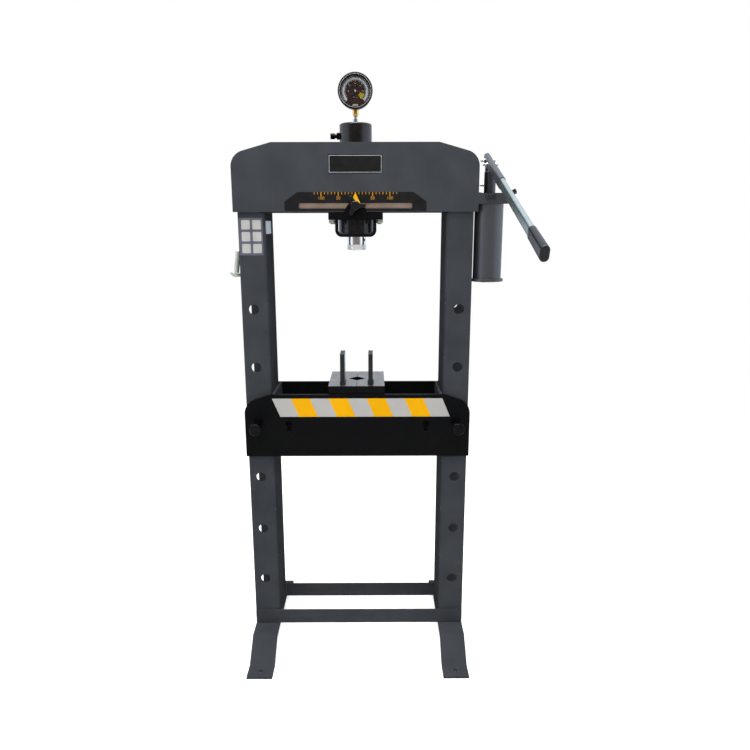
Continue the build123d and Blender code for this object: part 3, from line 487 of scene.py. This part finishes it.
def makeTape(s):
    low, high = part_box("table_front_plate")
    top = high[2] - s["topDrop"]
    bottom = top - s["height"]
    width = (s["right"] - s["left"]) / s["bands"]
    groups = {"greyTape": [], "yellowTape": []}
    for band in range(s["bands"]):
        x = s["left"] + width * band
        loop = [(x + s["slant"], bottom), (x + width + s["slant"], bottom), (x + width, top), (x, top)]
        finish = "yellowTape" if band % 2 else "greyTape"
        groups[finish].append(flatMesh("band", [loop], s["thickness"], facingFront(low[1])))
    addPiece("tape_grey", joined("tape_grey", groups["greyTape"]), "greyTape", "frame")
    addPiece("tape_yellow", joined("tape_yellow", groups["yellowTape"]), "yellowTape", "frame")


makeTape(tape)
print("tape made")

# Bare sticker panel on the left leg and a small label on its web
stickers = {"left": -346 * mm, "right": -275 * mm, "low": 1291 * mm, "high": 1400 * mm, "front": -80 * mm,
            "thickness": 0.3 * mm, "print": 0.12 * mm, "sheetCorner": 2 * mm,
            "rows": 3, "columns": 2, "margin": 6.5 * mm, "gap": 7.5 * mm, "corner": 3 * mm, "shift": 2 * mm,
            "smallFront": -69 * mm, "smallBack": 30 * mm, "smallLow": 1353 * mm, "smallHigh": 1391 * mm}


def makeStickers(s):
    sheet = roundedRectangle(s["left"], s["right"], s["low"], s["high"], s["sheetCorner"])
    panel = flatMesh("sticker_panel", [sheet], s["thickness"], facingFront(s["front"]))
    addPiece("sticker_panel", panel, "violetFilm", "frame")
    onSheet = facingFront(s["front"] - s["thickness"])
    cellX = (s["right"] - s["left"] - 2 * s["margin"] - s["gap"] * (s["columns"] - 1)) / s["columns"]
    cellZ = (s["high"] - s["low"] - 2 * s["margin"] - s["gap"] * (s["rows"] - 1)) / s["rows"]
    squares = []
    for row in range(s["rows"]):
        for column in range(s["columns"]):
            x = s["left"] + s["margin"] + s["shift"] + column * (cellX + s["gap"])
            z = s["low"] + s["margin"] + row * (cellZ + s["gap"])
            square = roundedRectangle(x, x + cellX, z, z + cellZ, s["corner"])
            squares.append(flatMesh("square", [square], s["print"], onSheet))
    addPiece("sticker_squares", joined("sticker_squares", squares), "palePrint", "frame")
    small = roundedRectangle(s["smallFront"], s["smallBack"], s["smallLow"], s["smallHigh"], s["sheetCorner"])
    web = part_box("left_leg")[1][0]
    onWeb = Matrix.Translation((web, 0, 0)) @ Matrix.Rotation(radians(90), 4, "Z")
    onWeb = onWeb @ Matrix.Rotation(radians(90), 4, "X")
    label = flatMesh("small_label", [small], s["thickness"], onWeb)
    addPiece("small_label", label, "paleFilm", "frame")


makeStickers(stickers)
print("stickers made")

# Print on the gauge's dial: one pale band, rings of marks, plain numbers and a yellow field
gaugePrint = {"thickness": 0.12 * mm, "start": 225, "sweep": 270, "arcSteps": 90, "ringSteps": 96,
              "bandIn": 31.5 * mm, "bandOut": 37.5 * mm, "arcs": (38.8 * mm, 41.2 * mm), "arcWidth": 0.6 * mm,
              "outerIn": 38.6 * mm, "outerOut": 40.9 * mm, "innerIn": 26.8 * mm, "innerOut": 30 * mm,
              "marks": 60, "longEvery": 5, "markWidth": 0.6 * mm, "longWider": 1.6, "shorter": 1.4 * mm,
              "numbers": 7, "numberStep": 10, "numberR": 21.5 * mm, "numberHeight": 3.6 * mm,
              "yellowIn": 14 * mm, "yellowOut": 27 * mm, "yellowFrom": -14, "yellowTo": -52,
              "yellowSteps": 14, "yellowLift": 0.3,
              "tabHalf": 7.8 * mm, "tabZ": -37.5 * mm, "tabHeight": 4.6 * mm,
              "dots": (-4 * mm, 4.5 * mm), "dotZ": -17 * mm, "dotR": 1.0 * mm, "dotSteps": 16,
              "capR": 3.2 * mm, "capDepth": 1.5 * mm, "capSteps": 24, "capEdge": (0.7, 0.8),
              "lipIn": 45.4 * mm, "lipOut": 46.2 * mm}


def arcBand(rIn, rOut, start, end, steps):
    angles = [radians(start + (end - start) * i / steps) for i in range(steps + 1)]
    outer = [(rOut * cos(a), rOut * sin(a)) for a in angles]
    return outer + [(rIn * cos(a), rIn * sin(a)) for a in reversed(angles)]


def circle(r, steps):
    return [(r * cos(2 * pi * k / steps), r * sin(2 * pi * k / steps)) for k in range(steps)]


def latheMesh(name, profile, steps, place):
    # turned shape: radius and height pairs from the top of its axis outwards
    work = bmesh.new()
    rings = []
    for r, h in profile:
        if r == 0:
            rings.append([work.verts.new((0, 0, h))] * steps)
        else:
            rings.append([work.verts.new((x, y, h)) for x, y in circle(r, steps)])
    for upper, lower in zip(rings, rings[1:]):
        for k in range(steps):
            corners = [upper[k], lower[k], lower[(k + 1) % steps], upper[(k + 1) % steps]]
            work.faces.new(list(dict.fromkeys(corners)))
    if profile[-1][0] > 0:
        work.faces.new(list(reversed(rings[-1])))
    mesh = bpy.data.meshes.new(name)
    work.to_mesh(mesh)
    work.free()
    mesh.transform(place)
    return mesh


def radialMark(angle, rIn, rOut, width):
    a = radians(angle)
    along = Vector((cos(a), sin(a)))
    across = Vector((-sin(a), cos(a))) * width / 2
    return [tuple(along * rIn - across), tuple(along * rOut - across), tuple(along * rOut + across),
            tuple(along * rIn + across)]


def makeGaugePrint(s):
    low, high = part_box("gauge_dial")
    centre = facingFront(low[1], 0, (low[2] + high[2]) / 2)
    t = s["thickness"]
    end = s["start"] - s["sweep"]
    band = arcBand(s["bandIn"], s["bandOut"], s["start"], end, s["arcSteps"])
    grey = [flatMesh("dial_band", [band], t, centre)]
    for i in range(s["marks"] + 1):
        angle = s["start"] - s["sweep"] * i / s["marks"]
        long = i % s["longEvery"] == 0
        width = s["markWidth"] * (s["longWider"] if long else 1)
        if long:
            grey.append(flatMesh("mark", [radialMark(angle, s["outerIn"], s["outerOut"], width)], t, centre))
        inner = s["innerIn"] if long else s["innerIn"] + s["shorter"]
        grey.append(flatMesh("mark", [radialMark(angle, inner, s["innerOut"], width)], t, centre))
    for r in s["arcs"]:
        arc = arcBand(r, r + s["arcWidth"], s["start"], end, s["arcSteps"])
        grey.append(flatMesh("arc", [arc], t, centre))
    addPiece("dial_scale", joined("dial_scale", grey), "greyPrint", "carriage")
    pale = []
    for i in range(s["numbers"]):
        a = radians(s["start"] - s["sweep"] * i / (s["numbers"] - 1))
        place = centre @ Matrix.Translation((s["numberR"] * cos(a), s["numberR"] * sin(a), 0))
        pale.append(textMesh("number", str(s["numberStep"] * i), s["numberHeight"], t, place))
    tabLow, tabHigh = s["tabZ"] - s["tabHeight"] / 2, s["tabZ"] + s["tabHeight"] / 2
    tab = rectangle(-s["tabHalf"], s["tabHalf"], tabLow, tabHigh)
    pale.append(flatMesh("tab", [tab], t, centre))
    for x in s["dots"]:
        dot = [(x + dx, s["dotZ"] + dz) for dx, dz in circle(s["dotR"], s["dotSteps"])]
        pale.append(flatMesh("dot", [dot], t, centre))
    addPiece("dial_numbers", joined("dial_numbers", pale), "palePrint", "carriage")
    field = arcBand(s["yellowIn"], s["yellowOut"], s["yellowFrom"], s["yellowTo"], s["yellowSteps"])
    yellow = flatMesh("dial_field", [field], t, centre @ Matrix.Translation((0, 0, s["yellowLift"] * t)))
    addPiece("dial_field", yellow, "dialYellow", "carriage")
    # painted highlight: a pale ring round the bezel's lip stands in for light caught on its inner edge
    lip = facingFront(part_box("gauge_bezel")[0][1], 0, (low[2] + high[2]) / 2)
    rings = [circle(s["lipOut"], s["ringSteps"]), circle(s["lipIn"], s["ringSteps"])]
    line = flatMesh("bezel_painted_highlight", rings, t, lip)
    addPiece("bezel_painted_highlight", line, "palePrint", "carriage")
    # turned cap over the needle's hub
    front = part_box("gauge_needle")[0][1]
    edgeR, edgeHeight = s["capEdge"]
    profile = [(0, s["capDepth"]), (edgeR * s["capR"], edgeHeight * s["capDepth"]), (s["capR"], 0)]
    cap = latheMesh("needle_cap", profile, s["capSteps"], facingFront(front, 0, (low[2] + high[2]) / 2))
    addPiece("needle_cap", cap, "dullZinc", "gauge_needle")


makeGaugePrint(gaugePrint)
print("dial printed")

# Weld beads: rippled runs and single blobs
beads = {"pitch": 2.4 * mm, "ripple": 0.16, "sides": 12, "least": 6, "perRipple": 4, "endR": 0.15,
         "uneven": 0.06}


def bead(start, end, radius, s=beads):
    # one run of weld metal between two points, its ripples a pitch apart
    a, b = Vector(start), Vector(end)
    along = b - a
    length = along.length
    steps = max(s["least"], int(length / s["pitch"]) * s["perRipple"])
    side = along.orthogonal().normalized()
    up = along.cross(side).normalized()
    work = bmesh.new()
    rings = []
    for i in range(steps + 1):
        t = i / steps
        wave = 1 - s["ripple"] * abs(sin(pi * t * length / s["pitch"]))
        endRound = min(1, (min(t, 1 - t) * length + s["endR"] * radius) / radius) ** 0.5
        r = radius * wave * endRound * (1 + s["uneven"] * (random.random() - 0.5))
        centre = a + along * t
        ring = []
        for k in range(s["sides"]):
            turn = 2 * pi * k / s["sides"]
            ring.append(work.verts.new(centre + side * cos(turn) * r + up * sin(turn) * r))
        rings.append(ring)
    for first, second in zip(rings, rings[1:]):
        for k in range(s["sides"]):
            work.faces.new((first[k], first[(k + 1) % s["sides"]], second[(k + 1) % s["sides"]], second[k]))
    work.faces.new(list(reversed(rings[0])))
    work.faces.new(rings[-1])
    bmesh.ops.recalc_face_normals(work, faces=work.faces)
    mesh = bpy.data.meshes.new("bead")
    work.to_mesh(mesh)
    work.free()
    for polygon in mesh.polygons:
        polygon.use_smooth = True
    return mesh


def uprightBead(x, y, low, high, radius):
    return bead((x, y, low), (x, y, high), radius)


def crossBead(x, toX, y, z, radius):
    return bead((x, y, z), (toX, y, z), radius)


# Where the beads run, as distances from the pieces they join
welds = {"footFrom": 277 * mm, "footTo": 344 * mm, "webHalf": 66 * mm, "footR": 2.2 * mm,
         "headLow": 8 * mm, "headHigh": 40 * mm, "headR": 2.0 * mm,
         "underFrom": 280 * mm, "underTo": 345 * mm, "underR": 1.8 * mm,
         "barIn": 1 * mm, "barEnd": 3 * mm, "barWebLow": 8 * mm, "barWebHigh": 4 * mm, "barR": 1.8 * mm,
         "tacks": (0.314, 0.478, 0.643, 0.979, 1.146), "tackIn": 3 * mm, "tackHalf": 3.5 * mm,
         "tackR": 1.3 * mm,
         "bracketIn": 3 * mm, "bracketRun": 8 * mm, "bracketR": 2 * mm,
         "lugs": (-46 * mm, 42 * mm), "lugHalf": 7 * mm, "lugFront": -64 * mm, "lugBack": -2 * mm,
         "lugR": 3.0 * mm, "lugEndHalf": 6 * mm, "lugEnd": -67 * mm, "lugEndR": 3.4 * mm,
         "tableEnd": 6 * mm, "tableR": 2.4 * mm}


def makeWelds(s):
    frameBeads = []
    legLow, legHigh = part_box("right_leg")
    footTop = legLow[2]
    plateLow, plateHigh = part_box("head_front_plate")
    barLow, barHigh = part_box("front_crossbar")
    for side in (-1, 1):
        inner = side * legLow[0]
        outer = side * legHigh[0]
        for y in (legLow[1], legHigh[1]):
            # leg to foot, along each flange, and flange to head plate
            frameBeads.append(crossBead(side * s["footFrom"], side * s["footTo"], y, footTop, s["footR"]))
        frameBeads.append(bead((inner, -s["webHalf"], footTop), (inner, s["webHalf"], footTop), s["footR"]))
        for y in (plateHigh[1], -plateHigh[1]):
            low, high = plateLow[2] + s["headLow"], legHigh[2] - s["headHigh"]
            frameBeads.append(uprightBead(outer, y, low, high, s["headR"]))
            under, underTo = side * s["underFrom"], side * s["underTo"]
            frameBeads.append(crossBead(under, underTo, y, plateLow[2], s["underR"]))
        for y in (barHigh[1], -barHigh[1]):
            x = outer - side * s["barIn"]
            low, high = barLow[2] + s["barEnd"], barHigh[2] - s["barEnd"]
            frameBeads.append(uprightBead(x, y, low, high, s["barR"]))
            low, high = barLow[2] + s["barWebLow"], barHigh[2] - s["barWebHigh"]
            frameBeads.append(uprightBead(inner, y, low, high, s["barR"]))
    for side in (-1, 1):
        x, y = side * (legLow[0] + s["tackIn"]), legLow[1] + s["tackIn"]
        for z in s["tacks"]:
            frameBeads.append(uprightBead(x, y, z - s["tackHalf"], z + s["tackHalf"], s["tackR"]))
    bracketLow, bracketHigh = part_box("pump_bracket")
    for y in (bracketLow[1] + s["bracketIn"], -bracketLow[1] - s["bracketIn"]):
        x = bracketLow[0]
        frameBeads.append(crossBead(x, x + s["bracketRun"], y, bracketHigh[2], s["bracketR"]))
    addPiece("frame_welds", joined("frame_welds", frameBeads), "weldCoat", "frame")
    lugBeads = []
    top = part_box("left_arbor_plate")[0][2] + arborThick
    for x in s["lugs"]:
        for side in (-1, 1):
            edge = x + side * s["lugHalf"]
            lugBeads.append(bead((edge, s["lugFront"], top), (edge, s["lugBack"], top), s["lugR"]))
        half = s["lugEndHalf"]
        lugBeads.append(crossBead(x - half, x + half, s["lugEnd"], top, s["lugEndR"]))
    addPiece("lug_welds", joined("lug_welds", lugBeads), "blackWeld", "frame")
    tableBeads = []
    tableLow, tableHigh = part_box("table_right_end")
    for side in (-1, 1):
        x = side * tableLow[0]
        for y in (tableLow[1], tableHigh[1]):
            low, high = tableLow[2] + s["tableEnd"], tableHigh[2] - s["tableEnd"]
            tableBeads.append(uprightBead(x, y, low, high, s["tableR"]))
    addPiece("table_welds", joined("table_welds", tableBeads), "blackWeld", "frame")


makeWelds(welds)
print("welds made")

# Studio: camera at the photograph's place, a white sweep and soft lamps
camera = {"place": (0.0515, -2.0517, 1.3773), "down": 12.923, "yaw": -0.125, "roll": -0.118,
          "focalPixels": 652.0, "photoWidth": 750, "sensor": 36.0, "clipEnd": 60}


def makeCamera(s):
    data = bpy.data.cameras.new("camera")
    data.sensor_width = s["sensor"]
    data.sensor_fit = "HORIZONTAL"
    data.lens = s["focalPixels"] * s["sensor"] / s["photoWidth"]
    data.clip_end = s["clipEnd"]
    holder = bpy.data.objects.new("camera", data)
    turn = Matrix.Rotation(radians(s["yaw"]), 4, "Z") @ Matrix.Rotation(radians(90 - s["down"]), 4, "X")
    holder.matrix_world = Matrix.Translation(s["place"]) @ turn @ Matrix.Rotation(radians(s["roll"]), 4, "Z")
    bpy.context.scene.collection.objects.link(holder)
    bpy.context.scene.camera = holder


makeCamera(camera)

studio = {"floorHalf": 14.0, "floorColour": "#EDEDED", "floorLift": 0.7, "farGlow": 0.35, "spill": 0.25,
          "sides": 1.6, "front": 0.14, "back": 1.0, "ceiling": 1.0, "cool": "#E6F0FF", "warm": "#FFE4D0",
          "lamps": [("key", (-0.9, -2.9, 2.9), (1.6, 1.6), 32), ("fill", (1.0, -2.9, 2.6), (1.6, 1.6), 27),
                    ("top", (0.0, -0.5, 3.8), (2.4, 1.6), 145), ("back", (0.0, 3.3, 2.6), (1.6, 1.6), 26)],
          "mirrored": ["top"], "fade": (1.2, 4.0), "frontEdge": (-0.8, -0.5), "backEdge": (0.4, 0.8),
          "ceilingEdge": (0.15, 0.6), "aim": (0, 0, 0.95)}


def seenDirectly(tree):
    # 1 for what the camera sees, itself or through glass
    path = addNode(tree, "LightPath")
    rays = {0: path.outputs["Is Camera Ray"], 1: path.outputs["Is Transmission Ray"]}
    return addNode(tree, "Math", links=rays, operation="MAXIMUM").outputs[0]


def makeFloor(s):
    half = s["floorHalf"]
    mesh = bpy.data.meshes.new("floor")
    mesh.from_pydata([(x, y, 0) for x, y in rectangle(-half, half, -half, half)], [], [(0, 1, 2, 3)])
    floor = bpy.data.objects.new("floor", mesh)
    bpy.context.scene.collection.objects.link(floor)
    material = bpy.data.materials.new("white_sweep")
    material.use_nodes = True
    tree = material.node_tree
    tree.nodes.clear()
    diffuse = addNode(tree, "BsdfDiffuse", {"Color": linear(s["floorColour"])})
    seen = seenDirectly(tree)
    lift = addNode(tree, "Math", {1: s["floorLift"]}, {0: seen}, operation="MULTIPLY")
    glow = addNode(tree, "Emission", {"Color": (1, 1, 1, 1)}, {"Strength": lift.outputs[0]})
    near = addNode(tree, "AddShader", links={0: diffuse.outputs[0], 1: glow.outputs[0]})
    # the far floor fades into white, also in reflections, where it is a little cool; it lights the part less
    path = addNode(tree, "LightPath")
    shown = addNode(tree, "Math", links={0: seen, 1: path.outputs["Is Glossy Ray"]}, operation="MAXIMUM")
    level = addNode(tree, "Mix", {2: s["farGlow"], 3: 1.0}, {0: shown.outputs[0]}, data_type="FLOAT")
    tint = blendColours(tree, seen, s["cool"], "#FFFFFF")
    white = addNode(tree, "Emission", links={"Color": tint, "Strength": level.outputs[0]})
    coords = addNode(tree, "TexCoord")
    distance = addNode(tree, "VectorMath", links={0: coords.outputs["Object"]}, operation="LENGTH")
    fade = spread(tree, distance.outputs["Value"], 0, 1, *s["fade"])
    mixed = addNode(tree, "MixShader", links={0: fade.outputs[0], 1: near.outputs[0], 2: white.outputs[0]})
    addNode(tree, "OutputMaterial", links={"Surface": mixed.outputs[0]})
    mesh.materials.append(material)


def makeWorld(s):
    # white where the camera looks and behind the object in reflections too, which see a dim room in front
    world = bpy.data.worlds.new("studio")
    world.use_nodes = True
    bpy.context.scene.world = world
    tree = world.node_tree
    tree.nodes.clear()
    coords = addNode(tree, "TexCoord")
    part = addNode(tree, "SeparateXYZ", links={0: coords.outputs["Generated"]})
    fromFront = spread(tree, part.outputs["Y"], s["front"], s["sides"], *s["frontEdge"])
    toBack = spread(tree, part.outputs["Y"], 1, s["back"] / s["sides"], *s["backEdge"])
    around = addNode(tree, "Math", links={0: fromFront.outputs[0], 1: toBack.outputs[0]},
                     operation="MULTIPLY")
    upward = spread(tree, part.outputs["Z"], 0, 1, *s["ceilingEdge"])
    room = addNode(tree, "Mix", {3: s["ceiling"]}, {0: upward.outputs[0], 2: around.outputs[0]},
                   data_type="FLOAT")
    path = addNode(tree, "LightPath")
    level = addNode(tree, "Mix", {2: s["spill"]}, {0: path.outputs["Is Glossy Ray"], 3: room.outputs[0]},
                    data_type="FLOAT")
    seen = seenDirectly(tree)
    level = addNode(tree, "Mix", {3: 1.0}, {0: seen, 2: level.outputs[0]}, data_type="FLOAT")
    # the floor's warm reflection in front, cool panels at the sides, and plain light on paint
    warmth = spread(tree, part.outputs["Y"], 0, 1, *s["frontEdge"])
    tint = blendColours(tree, warmth.outputs[0], s["warm"], s["cool"])
    plain = addNode(tree, "Math", {0: 1.0}, {1: path.outputs["Is Glossy Ray"]}, operation="SUBTRACT")
    tint = blendColours(tree, plain.outputs[0], tint, "#FFFFFF")
    light = addNode(tree, "Background", links={"Color": tint, "Strength": level.outputs[0]})
    addNode(tree, "OutputWorld", links={"Surface": light.outputs[0]})


def makeLamps(s):
    for name, place, size, power in s["lamps"]:
        data = bpy.data.lights.new(name, "AREA")
        data.shape = "RECTANGLE"
        data.size, data.size_y = size
        data.energy = power
        lamp = bpy.data.objects.new(name, data)
        aim = Vector(s["aim"]) - Vector(place)
        lamp.matrix_world = Matrix.Translation(place) @ aim.to_track_quat("-Z", "Y").to_matrix().to_4x4()
        bpy.context.scene.collection.objects.link(lamp)
        lamp.visible_glossy = name in s["mirrored"]  # for the others, reflections show the room


makeFloor(studio)
makeWorld(studio)
makeLamps(studio)
bpy.context.scene.view_settings.view_transform = "Standard"
print("studio made")
